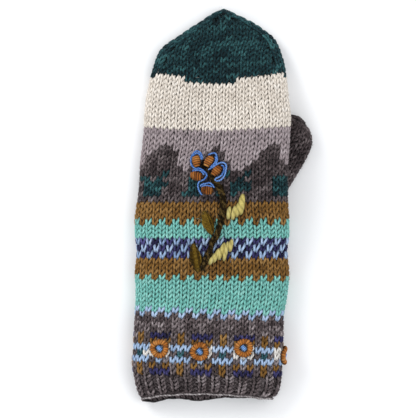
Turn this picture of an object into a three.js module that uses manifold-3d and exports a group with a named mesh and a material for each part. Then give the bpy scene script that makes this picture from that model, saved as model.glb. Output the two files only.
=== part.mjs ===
// A hand-knitted stranded wool mitten lying palm down, its embroidered back up and its thumb tucked
// under its right side. Millimetres, +Z up, +Y from the cuff to the fingertips, ground at z = 0.
import * as THREE from 'three';
import { mergeVertices } from 'three/addons/utils/BufferGeometryUtils.js';
import Module from 'manifold-3d';

const wasm = await Module();
wasm.setup();

const wall = 4; // thickness of the stranded knitting
const gap = 0.3; // clearance between pieces that touch
const handStitches = 48;
const thumbStitches = 18;
const cuffLength = 18.9; // five rows of rib
const bandEnd = 47.5; // top of the patterned wrist band
const fingersStart = 142.2; // where the stripes of the hand end
const tipStart = 224.3; // where the dark tip begins
const mouthSetback = 4.6; // the back's edge ends up to this much short of the palm's
const mouthWave = 1; // how far the palm's edge hangs in shallow waves
const ribDepth = 1.3;
const ridgeHeight = 0.7; // the doubled edge that the decreases leave on the tip
const ridgeReach = 6;
const columnBias = 2.5; // stitches are looser on the back than on the palm
const foldPart = 0.42; // height of the fold edge as a part of the crown
const floorClip = 0.5; // how far the palm is pressed flat
const palmRamp = 26; // width over which the palm rises to pass over the thumb
const backRamp = 58;
const foldReach = 12; // the palm joins the back's own rise this far from the right fold
const thumbBaseAt = 127; // where the thumb leaves the palm
const thumbRoot = -10; // the thumb's surface is run back to here, to be cut by the hand
const thumbTurn = THREE.MathUtils.degToRad(28); // the thumb's lean to the right

// along: from the cuff's edge; left, right: outline; crown: height of the back over the palm;
// base: the palm's height; lift, backLift: rise of the palm and the back over the thumb, full
// right of liftFrom; sag, tilt: how far a row of stitches runs off level
const bodyTable = table('along left right crown base lift backLift liftFrom sag tilt', [
  [0, -48.8, 41.5, 19.4, 0, 0, 0, 6, -1, -0.6],
  [5, -52, 45.4, 19.6, 0.5, 0, 0, 6, -0.6, -0.2],
  [11, -53.8, 47.4, 19.8, 1.9, 0, 0, 6, -0.2, 0.5],
  [17, -55, 48.1, 20, 3.6, 0, 0, 6, 0, 1.1],
  [26, -56, 48.6, 20.2, 4.4, 0, 0, 6, 0, 1.5],
  [44, -54.9, 49.3, 20.6, 4.4, 0, 0, 6, 0, 1.8],
  [60, -54, 49.6, 21, 2.4, 0, 0, 6, 0, 1.9],
  [74, -53.5, 52, 22, 0.4, 0, 0, 6, 0, 1.3],
  [88, -54.2, 53.5, 22.5, 0, 0, 0.5, 6, 0, 0.6],
  [104, -52.8, 52.2, 22.5, 0, 0, 2.5, 6, 0, 0],
  [116, -54, 53.4, 22, 0, 0.3, 5, 6, 0, 0],
  [127, -54.2, 53.2, 21.5, 0, 4.4, 7.8, 6, 0, 0],
  [134, -53.4, 52.6, 20.8, 0, 9.6, 9.7, 6, 0, 0],
  [141, -52.2, 52.2, 20.2, 0, 13.6, 11.5, 6, 0.3, 0],
  [149, -51.2, 52.2, 19.6, 0, 14.7, 13.1, 7, 0.6, 0],
  [165, -50.6, 52.4, 19, 0, 14.7, 14.5, 14, 1.1, 0],
  [181, -48.6, 53.5, 18.6, 0, 14.7, 14.4, 25, 2, 0],
  [197, -47.6, 54.2, 18.4, 0, 13.4, 12.8, 36, 2.8, 0],
  [208, -46.6, 53.1, 18, 0, 8.2, 9.6, 38, 3.6, 0],
  [220, -44.4, 52, 17.5, 0, 2.8, 5.6, 40, 5, 0],
  [231, -41.6, 50.6, 17, 0, 0.4, 2.6, 40, 4.5, 0],
  [241.5, -37.2, 47.3, 16.2, 0, 0, 0.8, 40, 3, 0],
  [247, -32.1, 45.2, 15.6, 0, 0, 0.3, 40, 2.3, 0],
  [252.5, -23.6, 41.4, 15, 0, 0, 0, 40, 1.6, 0],
  [258, -15.6, 34.2, 14, 0, 0, 0, 40, 1, 0],
  [263.6, -7, 25.1, 12.6, 0.2, 0, 0, 40, 0.5, 0],
  [268, -0.2, 15.6, 11, 1, 0, 0, 40, 0.2, 0],
  [270.8, 5.2, 10.6, 8.4, 2.2, 0, 0, 40, 0, 0],
]);

// along: distance on the thumb's own axis; left, right: outline to each side of it; crown: thickness
const thumbTable = table('along left right crown', [
  [0, -16, 15.5, 14.2],
  [14, -18.5, 19.5, 14.2],
  [30, -20.3, 19.3, 14.2],
  [45, -20.2, 20.1, 14.2],
  [60, -19.2, 20.8, 14.2],
  [69, -17.6, 20.1, 14],
  [76, -13.4, 16.5, 13.4],
  [80, -8, 11.8, 12],
  [82.3, -2.4, 7, 9.5],
]);
const thumbOrigin = new THREE.Vector2(18.9, 124.6);
const thumbAlong = new THREE.Vector2(Math.sin(thumbTurn), Math.cos(thumbTurn));
const thumbAcross = new THREE.Vector2(Math.cos(thumbTurn), -Math.sin(thumbTurn));

// Rosettes: coiled rings sewn by hand around the wrist, about six stitches apart
const rosettes = table('column along', [
  [4.9, 36.7],
  [10.6, 35.6],
  [16.75, 39],
  [23.7, 34],
  [29, 36.5],
  [34.8, 37],
  [40.4, 36],
  [45.6, 36.5],
]);
const coil = { radius: 4.6, width: 4.2, height: 3.8 };
const eyeWidth = 4.3;

// x, y: place on the back; long, wide: oval; turn: of its long side from +Y, clockwise; from, to: the part
// of its rim that the blue thread follows, in degrees clockwise from its long side's end
const petals = table('x y long wide turn from to', [
  [-10.3, 165.4, 8, 5.6, -12, -125, 78],
  [-1.9, 165.4, 8.4, 5.6, 28, -35, 158],
  [3.2, 159.2, 8.2, 5.2, 38, -28, 195],
  [-10.4, 155.4, 8.4, 6.2, 95, -165, 0],
  [-3.3, 146, 8.1, 5.6, 95, -220, -35],
]);
const petalHeight = 3.2;
const threadWidth = 1.8;

const stem = {
  width: 5.4,
  height: 3.2,
  path: [[4.4, 148.4], [6.7, 142.7], [7.1, 136.8], [6.6, 130.2], [5.2, 122.4], [2.9, 115.6], [-0.5, 110],
    [-2.2, 103.5], [-5, 98.5], [-6.7, 91.4]],
};
// Satin-stitch leaves, each from its stem end to its tip
const leafHeight = 2.4;
const leaves = [
  { name: 'leaf_light_1', width: 8, path: [[13.4, 127], [16, 132.4], [20.4, 141.6]], colour: 0xc9bd6b },
  { name: 'leaf_light_2', width: 9, path: [[-0.4, 97.8], [5.6, 102.8], [12.6, 109.6]], colour: 0xc9bd6b },
  { name: 'leaf_dark_1', width: 7, path: [[-1.2, 116.6], [-3.6, 123.6], [-6.2, 131.2]], colour: 0x5a4312 },
  { name: 'leaf_dark_2', width: 6.8, path: [[-13.8, 109.2], [-12.9, 101], [-12, 93.2]], colour: 0x5a4312 },
];

function table(names, rows) {
  const columns = {};
  names.split(' ').forEach((name, i) => {
    columns[name] = rows.map((row) => row[i]);
  });
  return columns;
}

// Smooth value of a table's column, without overshoot between its rows
function valueAt(columns, name, along) {
  const xs = columns.along;
  const ys = columns[name];
  const last = xs.length - 1;
  let i = 0;
  while (i < last - 1 && along > xs[i + 1]) i += 1;
  const secant = (k) => (ys[k + 1] - ys[k]) / (xs[k + 1] - xs[k]);
  const slope = (k) => {
    if (k === 0) return secant(0);
    if (k === last) return secant(last - 1);
    const before = secant(k - 1);
    const after = secant(k);
    return before * after > 0 ? (2 * before * after) / (before + after) : 0;
  };
  const span = xs[i + 1] - xs[i];
  const t = THREE.MathUtils.clamp((along - xs[i]) / span, 0, 1);
  const rise = t * t * (3 - 2 * t);
  const enter = t * (1 - t) * (1 - t) * span * slope(i);
  const leave = t * t * (t - 1) * span * slope(i + 1);
  return ys[i] + (ys[i + 1] - ys[i]) * rise + enter + leave;
}

function smooth(t) {
  const c = THREE.MathUtils.clamp(t, 0, 1);
  return c * c * (3 - 2 * c);
}

const power = (value, exponent) => Math.sign(value) * Math.abs(value) ** exponent;

// Outline of a flattened tube in the plane across it, from its left fold over its back to its right fold and
// home along its flat underside, as points [across, up, arc length]
function tubeSection(left, right, crown, base, backLift, palmLift) {
  const samples = 240;
  const middle = (left + right) / 2;
  const half = (right - left) / 2;
  const fold = crown * foldPart;
  const points = [];
  for (let i = 0; i <= samples; i += 1) {
    const angle = Math.PI * (1 - (2 * i) / samples);
    const back = i <= samples / 2;
    const across = middle + half * power(Math.cos(angle), back ? 2 / 3.2 : 2 / 7);
    const rise = power(Math.sin(angle), back ? 1 : 2 / 2.2);
    const pressed = Math.max(0, fold + (fold + floorClip) * rise);
    const up = back ? fold + (crown - fold) * rise + backLift(across) : pressed + palmLift(across);
    const before = points[i - 1];
    const arc = i === 0 ? 0 : before[2] + Math.hypot(across - before[0], base + up - before[1]);
    points.push([across, base + up, arc]);
  }
  return points;
}

// Point of a section at a share of the way round it
function onSection(points, share) {
  const whole = points[points.length - 1][2];
  const wanted = (share - Math.floor(share)) * whole;
  let low = 0;
  let high = points.length - 1;
  while (high - low > 1) {
    const middle = (low + high) >> 1;
    if (points[middle][2] > wanted) high = middle;
    else low = middle;
  }
  const t = (wanted - points[low][2]) / (points[high][2] - points[low][2]);
  return [0, 1].map((k) => THREE.MathUtils.lerp(points[low][k], points[high][k], t));
}

const bodySections = new Map();

function bodySection(along) {
  if (!bodySections.has(along)) {
    const value = (name) => valueAt(bodyTable, name, along);
    const from = value('liftFrom');
    const lift = value('lift');
    const backLift = value('backLift');
    const backRise = (x) => backLift * smooth((x - from + backRamp) / backRamp);
    const palmRise = (x) => lift * smooth((x - from + palmRamp) / palmRamp)
      + (backLift - lift) * smooth((x - value('right') + foldReach) / foldReach);
    const row = { left: value('left'), right: value('right'), crown: value('crown'), base: value('base') };
    row.points = tubeSection(row.left, row.right, row.crown, row.base, backRise, palmRise);
    row.length = row.points[row.points.length - 1][2];
    row.foldShare = row.points[(row.points.length - 1) / 2][2] / row.length;
    bodySections.set(along, row);
  }
  return bodySections.get(along);
}

// Share of the way round the hand at which a stitch column lies
function columnShare(column, row) {
  const bias = (columnBias * (1 - Math.cos((2 * Math.PI * column) / handStitches))) / 2;
  return column / handStitches + bias / row.length;
}

function bodySurface(column, along) {
  const row = bodySection(along);
  const [x, z] = onSection(row.points, columnShare(column, row));
  const off = (x - (row.left + row.right) / 2) / ((row.right - row.left) / 2);
  const level = valueAt(bodyTable, 'sag', along) * (1 - off * off) + valueAt(bodyTable, 'tilt', along) * off;
  const backness = smooth((z - row.base) / row.crown);
  const setback = mouthSetback * (1 - ((off + 0.25) / 1.25) ** 2);
  const hang = mouthWave * (x < 8 ? Math.cos((2 * Math.PI * (x + 9)) / 34) : -1);
  const edge = THREE.MathUtils.lerp(-hang, setback, backness) * (1 - Math.min(along / cuffLength, 1));
  return new THREE.Vector3(x, along - level + edge, z);
}

function thumbSurface(column, along) {
  const value = (name) => valueAt(thumbTable, name, along);
  const flat = () => 0;
  const points = tubeSection(value('left'), value('right'), value('crown'), 0, flat, flat);
  const [across, z] = onSection(points, column / thumbStitches);
  const place = thumbOrigin.clone().addScaledVector(thumbAlong, along).addScaledVector(thumbAcross, across);
  return new THREE.Vector3(place.x, place.y, z);
}

// Point above or under a surface, along its outward normal
function offSurface(surface, column, along, height) {
  const point = surface(column, along);
  if (height === 0) return point;
  const acrossStep = surface(column + 0.4, along).sub(surface(column - 0.4, along));
  const alongStep = surface(column, along + 0.8).sub(surface(column, along - 0.8));
  return point.addScaledVector(acrossStep.cross(alongStep).normalize(), height);
}

function ring(surface, sides, columns, along, height) {
  return Array.from({ length: sides }, (_, i) => {
    const column = (i * columns) / sides;
    const rise = typeof height === 'function' ? height(column, along, i) : height;
    return offSurface(surface, column, along, rise);
  });
}

// Closed body over rings of equal count: joined end to end if looped, otherwise with both ends capped
function skin(rings, looped) {
  const sides = rings[0].length;
  const vertices = rings.flat().flatMap((point) => point.toArray());
  const faces = [];
  const joins = looped ? rings.length : rings.length - 1;
  for (let r = 0; r < joins; r += 1) {
    const next = ((r + 1) % rings.length) * sides;
    for (let i = 0; i < sides; i += 1) {
      const j = (i + 1) % sides;
      faces.push(r * sides + i, r * sides + j, next + j, r * sides + i, next + j, next + i);
    }
  }
  if (!looped) {
    [0, rings.length - 1].forEach((r) => {
      const centre = rings[r].reduce((sum, p) => sum.add(p), new THREE.Vector3()).divideScalar(sides);
      const middle = vertices.length / 3;
      vertices.push(...centre.toArray());
      for (let i = 0; i < sides; i += 1) {
        const pair = [r * sides + i, r * sides + ((i + 1) % sides)];
        faces.push(middle, ...(r === 0 ? pair.reverse() : pair));
      }
    });
  }
  const geometry = new THREE.BufferGeometry();
  geometry.setAttribute('position', new THREE.Float32BufferAttribute(vertices, 3));
  geometry.setIndex(faces);
  return volume(geometry) < 0 ? geometry.setIndex(faces.reverse()) : geometry;
}

function volume(geometry) {
  const index = geometry.index.array;
  const corner = (i) => new THREE.Vector3().fromBufferAttribute(geometry.attributes.position, index[i]);
  let sum = 0;
  for (let i = 0; i < index.length; i += 3) sum += corner(i).dot(corner(i + 1).cross(corner(i + 2)));
  return sum / 6;
}

function toSolid(geometry) {
  const bare = geometry.clone();
  bare.deleteAttribute('normal');
  bare.deleteAttribute('uv');
  const merged = mergeVertices(bare);
  return new wasm.Manifold(new wasm.Mesh({
    numProp: 3,
    vertProperties: merged.attributes.position.array,
    triVerts: new Uint32Array(merged.index.array),
  }));
}

function toGeometry(solid) {
  const mesh = solid.getMesh();
  const geometry = new THREE.BufferGeometry();
  geometry.setAttribute('position', new THREE.BufferAttribute(mesh.vertProperties, 3));
  geometry.setIndex(new THREE.BufferAttribute(mesh.triVerts, 1));
  return geometry;
}

function blockBetween(min, max) {
  const size = new THREE.Vector3().subVectors(max, min);
  const middle = new THREE.Vector3().addVectors(min, max).multiplyScalar(0.5);
  return toSolid(new THREE.BoxGeometry(...size.toArray()).translate(...middle.toArray()));
}

const mitten = new THREE.Group();

function addPiece(name, geometry, color) {
  const wool = new THREE.MeshStandardMaterial({ color, roughness: 0.95, metalness: 0, flatShading: true });
  const mesh = new THREE.Mesh(geometry, wool);
  mesh.name = name;
  mitten.add(mesh);
}

// Wall of the hand between two rows, as rings up its outside and back down its inside
function bodyWall(alongs, sides, outside = 0) {
  const outer = alongs.map((along) => ring(bodySurface, sides, handStitches, along, outside));
  const inner = alongs.map((along) => ring(bodySurface, sides, handStitches, along, -wall));
  return skin([...outer, ...inner.reverse()], true);
}

function buildCuff() {
  const rib = (column, along, i) => (i % 4 < 2 ? 0 : -ribDepth);
  addPiece('cuff', bodyWall([0, 4, 10.5, cuffLength], 2 * handStitches, rib), 0x5a5250);
}

const wallRows = [26, 35, 60, 74, 88, 104, 116, 127, 134, 149, 165, 181, 197, 208];

function wallAlongs(start, end) {
  return [start, ...wallRows.filter((along) => along > start && along < end), end];
}

// Thumb's hollow, run back through the palm so that it also cuts the thumb hole
function thumbHollow() {
  const alongs = [thumbRoot - 4, 14, 30, 45, 60, 69, 75];
  return toSolid(skin(alongs.map((along) => ring(thumbSurface, 24, thumbStitches, along, -wall)), false));
}

function buildHand() {
  addPiece('wrist_band', bodyWall(wallAlongs(cuffLength + gap, bandEnd), handStitches), 0xa9c2ea);
  const hand = toSolid(bodyWall(wallAlongs(bandEnd + gap, fingersStart), handStitches));
  addPiece('hand', toGeometry(hand.subtract(thumbHollow())), 0x6fc4ae);
  addPiece('fingers', bodyWall(wallAlongs(fingersStart + gap, tipStart - gap), handStitches), 0xd8cfc4);
}

function buildTip() {
  const ridge = (column, along) => {
    const row = bodySection(along);
    const share = columnShare(column, row) % 1;
    const off = Math.min(share, 1 - share, Math.abs(share - row.foldShare)) * row.length;
    return ridgeHeight * (1 - smooth(off / ridgeReach)) * smooth((along - tipStart) / 12);
  };
  const outerAlongs = [tipStart, 231, 236.5, 241.5, 247, 252.5, 258, 263.6, 268, 270.8];
  const innerAlongs = outerAlongs.filter((along) => along < 264);
  const outer = outerAlongs.map((along) => ring(bodySurface, handStitches, handStitches, along, ridge));
  const inner = innerAlongs.map((along) => ring(bodySurface, handStitches, handStitches, along, -wall));
  addPiece('tip', skin([...outer.reverse(), ...inner], false), 0x1f4f50);
}

function buildThumb() {
  const outerRing = (along) => ring(thumbSurface, 24, thumbStitches, along, 0);
  const handRing = (along) => ring(bodySurface, handStitches, handStitches, along, gap);
  const outer = toSolid(skin([thumbRoot, 14, 30, 45, 60, 69, 76, 80, 82.3].map(outerRing), false));
  const room = toSolid(skin(wallAlongs(bandEnd, tipStart).map(handRing), false));
  const below = blockBetween(new THREE.Vector3(-60, 60, -10), new THREE.Vector3(90, thumbBaseAt, 40));
  const thumb = outer.subtract(thumbHollow()).subtract(room).subtract(below);
  addPiece('thumb', toGeometry(thumb), 0x5a5250);
}

// Stitch column at a given x on the back
function columnAt(x, along) {
  let low = 0;
  let high = handStitches / 2;
  for (let i = 0; i < 30; i += 1) {
    const middle = (low + high) / 2;
    if (bodySurface(middle, along).x < x) low = middle;
    else high = middle;
  }
  return low;
}

// Where a plan point of the back lies on the knitting, as [column, along]
function onBack(x, y) {
  let along = y;
  let column = columnAt(x, along);
  for (let i = 0; i < 4; i += 1) {
    along += y - bodySurface(column, along).y;
    column = columnAt(x, along);
  }
  return [column, along];
}

const columnWidth = (column, along) =>
  bodySurface(column + 0.5, along).distanceTo(bodySurface(column - 0.5, along));

// Yarn or a stitched pad laid on the knitting: sections of a given width and height along a route of
// [column, along] points, set on the outside of the wall
function laid(route, widths, heights, sides, looped) {
  const last = route.length - 1;
  const rings = route.map(([column, along], i) => {
    const before = looped ? route[(i + last) % route.length] : route[Math.max(i - 1, 0)];
    const after = looped ? route[(i + 1) % route.length] : route[Math.min(i + 1, last)];
    const unit = columnWidth(column, along);
    const heading = new THREE.Vector2((after[0] - before[0]) * unit, after[1] - before[1]).normalize();
    return Array.from({ length: sides }, (_, k) => {
      const angle = (2 * Math.PI * k) / sides;
      const side = (widths[i] / 2) * Math.cos(angle);
      const rise = gap + (heights[i] / 2) * (1 + Math.sin(angle));
      return offSurface(bodySurface, column + (side * heading.y) / unit, along - side * heading.x, rise);
    });
  });
  return skin(rings, looped);
}

// Rounded pad: full in its middle and drawn in at both ends
function pad(path, width, height, steps, sides, fullness) {
  const curve = new THREE.CatmullRomCurve3(path.map(([x, y]) => new THREE.Vector3(x, y, 0)));
  const shares = Array.from({ length: steps }, (_, i) => (1 - Math.cos((Math.PI * (i + 0.5)) / steps)) / 2);
  const route = shares.map((share) => {
    const point = curve.getPointAt(share);
    return onBack(point.x, point.y);
  });
  const swell = shares.map((share) => Math.sqrt(1 - Math.abs(2 * share - 1) ** fullness));
  return laid(route, swell.map((s) => width * s), swell.map((s) => height * (0.4 + 0.6 * s)), sides, false);
}

function buildRosettes() {
  rosettes.column.forEach((column, n) => {
    const along = rosettes.along[n];
    const unit = columnWidth(column, along);
    const route = Array.from({ length: 12 }, (_, i) => {
      const angle = (2 * Math.PI * i) / 12;
      return [column + (coil.radius * Math.cos(angle)) / unit, along + coil.radius * Math.sin(angle)];
    });
    const coiled = laid(route, route.map(() => coil.width), route.map(() => coil.height), 6, true);
    addPiece(`rosette_ring_${n + 1}`, coiled, 0xb5651d);
    const swell = [0.5, 0.9, 0.9, 0.5];
    const knot = swell.map((s, i) => [column, along + eyeWidth * (i / 3 - 0.5) * 0.92]);
    const widths = swell.map((s) => s * eyeWidth);
    const heights = swell.map((s) => s * coil.height);
    addPiece(`rosette_eye_${n + 1}`, laid(knot, widths, heights, 8, false), 0x4f8ad6);
  });
}

function buildFlower() {
  petals.x.forEach((x, n) => {
    const row = Object.fromEntries(Object.entries(petals).map(([name, values]) => [name, values[n]]));
    const turn = THREE.MathUtils.degToRad(row.turn);
    const at = (ahead, side) => [
      x + ahead * Math.sin(turn) + side * Math.cos(turn),
      row.y + ahead * Math.cos(turn) - side * Math.sin(turn),
    ];
    const path = [at(-row.long / 2, 0), at(0, 0), at(row.long / 2, 0)];
    addPiece(`petal_${n + 1}`, pad(path, row.wide, petalHeight, 5, 8, 2), 0xb5651d);
    const away = gap + threadWidth / 2;
    const rim = Array.from({ length: 8 }, (_, i) => {
      const angle = THREE.MathUtils.degToRad(THREE.MathUtils.lerp(row.from, row.to, i / 7));
      const ahead = (row.long / 2 + away) * Math.cos(angle);
      return onBack(...at(ahead, (row.wide / 2 + away) * Math.sin(angle)));
    });
    const thread = laid(rim, rim.map(() => threadWidth), rim.map(() => threadWidth), 6, false);
    addPiece(`petal_edge_${n + 1}`, thread, 0x4f8ad6);
  });
  addPiece('flower_stem', pad(stem.path, stem.width, stem.height, 14, 6, 8), 0x2c2317);
  leaves.forEach((leaf) => {
    addPiece(leaf.name, pad(leaf.path, leaf.width, leafHeight, 6, 8, 2), leaf.colour);
  });
}

buildCuff();
buildHand();
buildTip();
buildThumb();
buildRosettes();
buildFlower();

// The origin is the bottom centre of the whole
const box = new THREE.Box3().setFromObject(mitten);
mitten.position.set(-(box.min.x + box.max.x) / 2, -(box.min.y + box.max.y) / 2, -box.min.z);

export default mitten;
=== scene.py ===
# Hand-knitted stranded wool mitten lying palm down. Every stitch is a loop of yarn laid on the surface
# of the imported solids, row by row. Lengths are millimetres in the maker's own axes until toFrame().
import math
import bpy
import bmesh
import numpy as np
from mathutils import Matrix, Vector


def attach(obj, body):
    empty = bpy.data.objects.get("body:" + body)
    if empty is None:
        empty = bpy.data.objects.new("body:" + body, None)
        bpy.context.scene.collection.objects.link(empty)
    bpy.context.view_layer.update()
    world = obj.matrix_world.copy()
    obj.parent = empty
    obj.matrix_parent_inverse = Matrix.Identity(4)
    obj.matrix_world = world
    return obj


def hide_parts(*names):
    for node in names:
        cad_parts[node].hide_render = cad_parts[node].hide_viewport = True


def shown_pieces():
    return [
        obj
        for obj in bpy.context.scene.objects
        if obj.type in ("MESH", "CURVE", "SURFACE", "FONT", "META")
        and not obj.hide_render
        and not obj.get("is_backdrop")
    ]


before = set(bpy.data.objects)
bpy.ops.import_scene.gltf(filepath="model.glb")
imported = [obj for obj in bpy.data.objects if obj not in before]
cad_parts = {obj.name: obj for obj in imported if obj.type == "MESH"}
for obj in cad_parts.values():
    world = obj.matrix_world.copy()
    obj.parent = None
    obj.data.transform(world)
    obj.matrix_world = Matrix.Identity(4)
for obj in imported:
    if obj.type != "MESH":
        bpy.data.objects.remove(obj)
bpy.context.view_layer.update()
dice = np.random.default_rng(27)

form = {
    "shift": (-6.572, -135.036, 0.0),  # from the maker's origin to the frame's
    "stitches": 48,
    "foldPart": 0.42,  # height of the side folds, as a part of the crown's
    "backPower": 2 / 3.2,  # how square the outline is on the back and under the palm
    "palmPower": (2 / 7, 2 / 2.2),
    "floorClip": 0.5,  # how much of the rounded underside the floor presses flat
    "columnBias": 2.5,  # how far round the columns of the palm are shifted
    "cuffLength": 18.9,
    "palmRamp": 26.0,  # widths over which the palm, the back and the fold rise to lie over the thumb
    "backRamp": 58.0,
    "foldReach": 12.0,
    "thumbStitches": 18,
    "thumbTurn": 28,
    "thumbOrigin": (18.9, 124.6),
}

# Edge of the cuff: how far the back's lies in, where most, and the slow wave in the palm's
mouth = {"setback": 4.6, "peak": 0.25, "wave": 1.0, "waveEnd": 8, "waveShift": 9, "waveLength": 34}


def table(names, rows):
    return {name: np.array([row[i] for row in rows], dtype=float) for i, name in enumerate(names.split())}


bodyTable = table("along left right crown base lift backLift liftFrom sag tilt", [
    [0, -48.8, 41.5, 19.4, 0, 0, 0, 6, -1, -0.6],
    [5, -52, 45.4, 19.6, 0.5, 0, 0, 6, -0.6, -0.2],
    [11, -53.8, 47.4, 19.8, 1.9, 0, 0, 6, -0.2, 0.5],
    [17, -55, 48.1, 20, 3.6, 0, 0, 6, 0, 1.1],
    [26, -56, 48.6, 20.2, 4.4, 0, 0, 6, 0, 1.5],
    [44, -54.9, 49.3, 20.6, 4.4, 0, 0, 6, 0, 1.8],
    [60, -54, 49.6, 21, 2.4, 0, 0, 6, 0, 1.9],
    [74, -53.5, 52, 22, 0.4, 0, 0, 6, 0, 1.3],
    [88, -54.2, 53.5, 22.5, 0, 0, 0.5, 6, 0, 0.6],
    [104, -52.8, 52.2, 22.5, 0, 0, 2.5, 6, 0, 0],
    [116, -54, 53.4, 22, 0, 0.3, 5, 6, 0, 0],
    [127, -54.2, 53.2, 21.5, 0, 4.4, 7.8, 6, 0, 0],
    [134, -53.4, 52.6, 20.8, 0, 9.6, 9.7, 6, 0, 0],
    [141, -52.2, 52.2, 20.2, 0, 13.6, 11.5, 6, 0.3, 0],
    [149, -51.2, 52.2, 19.6, 0, 14.7, 13.1, 7, 0.6, 0],
    [165, -50.6, 52.4, 19, 0, 14.7, 14.5, 14, 1.1, 0],
    [181, -48.6, 53.5, 18.6, 0, 14.7, 14.4, 25, 2, 0],
    [197, -47.6, 54.2, 18.4, 0, 13.4, 12.8, 36, 2.8, 0],
    [208, -46.6, 53.1, 18, 0, 8.2, 9.6, 38, 3.6, 0],
    [220, -44.4, 52, 17.5, 0, 2.8, 5.6, 40, 5, 0],
    [231, -41.6, 50.6, 17, 0, 0.4, 2.6, 40, 4.5, 0],
    [241.5, -37.2, 47.3, 16.2, 0, 0, 0.8, 40, 3, 0],
    [247, -32.1, 45.2, 15.6, 0, 0, 0.3, 40, 2.3, 0],
    [252.5, -23.6, 41.4, 15, 0, 0, 0, 40, 1.6, 0],
    [258, -15.6, 34.2, 14, 0, 0, 0, 40, 1, 0],
    [263.6, -7, 25.1, 12.6, 0.2, 0, 0, 40, 0.5, 0],
    [268, -0.2, 15.6, 11, 1, 0, 0, 40, 0.2, 0],
    [270.8, 5.2, 10.6, 8.4, 2.2, 0, 0, 40, 0, 0],
])
thumbTable = table("along left right crown", [
    [0, -16, 15.5, 14.2],
    [14, -18.5, 19.5, 14.2],
    [30, -20.3, 19.3, 14.2],
    [45, -20.2, 20.1, 14.2],
    [60, -19.2, 20.8, 14.2],
    [69, -17.6, 20.1, 14],
    [76, -13.4, 16.5, 13.4],
    [80, -8, 11.8, 12],
    [82.3, -2.4, 7, 9.5],
])


def smooth(t):
    c = np.clip(t, 0, 1)
    return c * c * (3 - 2 * c)


def power(value, exponent):
    return np.sign(value) * np.abs(value) ** exponent


def sinCos(degrees):
    return math.sin(math.radians(degrees)), math.cos(math.radians(degrees))


# Rise of a stitch from end to end, t from -1 to 1, with blunter ends where part is less
def arch(t, part):
    return np.sqrt(1 - part * t * t)


# Smooth value of a table's column, without overshoot between its rows
def valueAt(columns, name, along):
    xs, ys = columns["along"], columns[name]
    secant = np.diff(ys) / np.diff(xs)
    before, after = secant[:-1], secant[1:]
    slope = np.concatenate(([secant[0]], np.zeros(len(before)), [secant[-1]]))
    same = before * after > 0
    slope[1:-1][same] = 2 * before[same] * after[same] / (before[same] + after[same])
    i = np.clip(np.searchsorted(xs, along) - 1, 0, len(xs) - 2)
    span = xs[i + 1] - xs[i]
    t = np.clip((along - xs[i]) / span, 0, 1)
    level = ys[i] + (ys[i + 1] - ys[i]) * smooth(t)
    return level + span * t * (1 - t) * ((1 - t) * slope[i] - t * slope[i + 1])


gridShares = np.linspace(0, 1, 481)


# Outline of a flattened tube, evenly divided: from its left fold over its back to its right fold and home
def tubeSection(left, right, crown, base, backRise, palmRise):
    backPower, (sidePower, palmPower) = form["backPower"], form["palmPower"]
    turn = np.linspace(0, 1, 241)
    angle = np.pi * (1 - 2 * turn)
    back = turn <= 0.5
    fold = crown * form["foldPart"]
    side = power(np.cos(angle), np.where(back, backPower, sidePower))
    across = (left + right) / 2 + (right - left) / 2 * side
    rise = power(np.sin(angle), np.where(back, 1, palmPower))
    pressed = np.maximum(0, fold + (fold + form["floorClip"]) * rise)
    up = np.where(back, fold + (crown - fold) * rise + backRise(across), pressed + palmRise(across)) + base
    arc = np.concatenate(([0], np.cumsum(np.hypot(np.diff(across), np.diff(up)))))
    share = arc / arc[-1]
    x, z = [np.interp(gridShares, share, part) for part in (across, up)]
    return x, z, arc[-1], share[len(share) // 2]


def bodyRow(along):
    value = {name: float(valueAt(bodyTable, name, along)) for name in bodyTable}
    left, right, crown, base = value["left"], value["right"], value["crown"], value["base"]
    backRamp, palmRamp, reach = form["backRamp"], form["palmRamp"], form["foldReach"]

    def backRise(x):
        return value["backLift"] * smooth((x - value["liftFrom"] + backRamp) / backRamp)

    def palmRise(x):
        joined = (value["backLift"] - value["lift"]) * smooth((x - right + reach) / reach)
        return value["lift"] * smooth((x - value["liftFrom"] + palmRamp) / palmRamp) + joined

    x, z, length, fold = tubeSection(left, right, crown, base, backRise, palmRise)
    off = (2 * x - left - right) / (right - left)
    level = value["sag"] * (1 - off * off) + value["tilt"] * off
    backness = smooth((z - base) / crown)
    setback = mouth["setback"] * (1 - ((off + mouth["peak"]) / (1 + mouth["peak"])) ** 2)
    wave = np.cos(2 * np.pi * (x + mouth["waveShift"]) / mouth["waveLength"])
    hang = mouth["wave"] * np.where(x < mouth["waveEnd"], wave, -1)
    edge = (backness * setback - (1 - backness) * hang) * (1 - min(max(along, 0) / form["cuffLength"], 1))
    return np.stack([x, along - level + edge, z], axis=1), length, fold


def thumbRow(along):
    left, right, crown = (float(valueAt(thumbTable, name, along)) for name in ("left", "right", "crown"))
    side, z, length, fold = tubeSection(left, right, crown, 0, np.zeros_like, np.zeros_like)
    sin, cos = sinCos(form["thumbTurn"])
    x, y = form["thumbOrigin"]
    return np.stack([x + along * sin + side * cos, y + along * cos - side * sin, z], axis=1), length, fold


# Even grid over a tube: where each share of the way round lies at each millimetre along
def makeSurface(rowAt, start, stop):
    points, lengths, folds = zip(*(rowAt(along) for along in np.arange(start, stop)))
    points = np.stack(points)
    ring = points[:, :-1]
    normals = np.cross(np.roll(ring, -1, axis=1) - np.roll(ring, 1, axis=1), np.gradient(ring, axis=0))
    normals /= np.linalg.norm(normals, axis=2, keepdims=True)
    normals = np.concatenate((normals, normals[:, :1]), axis=1)
    return {"start": start, "points": points, "normals": normals, "lengths": np.array(lengths),
            "folds": np.array(folds)}


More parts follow.
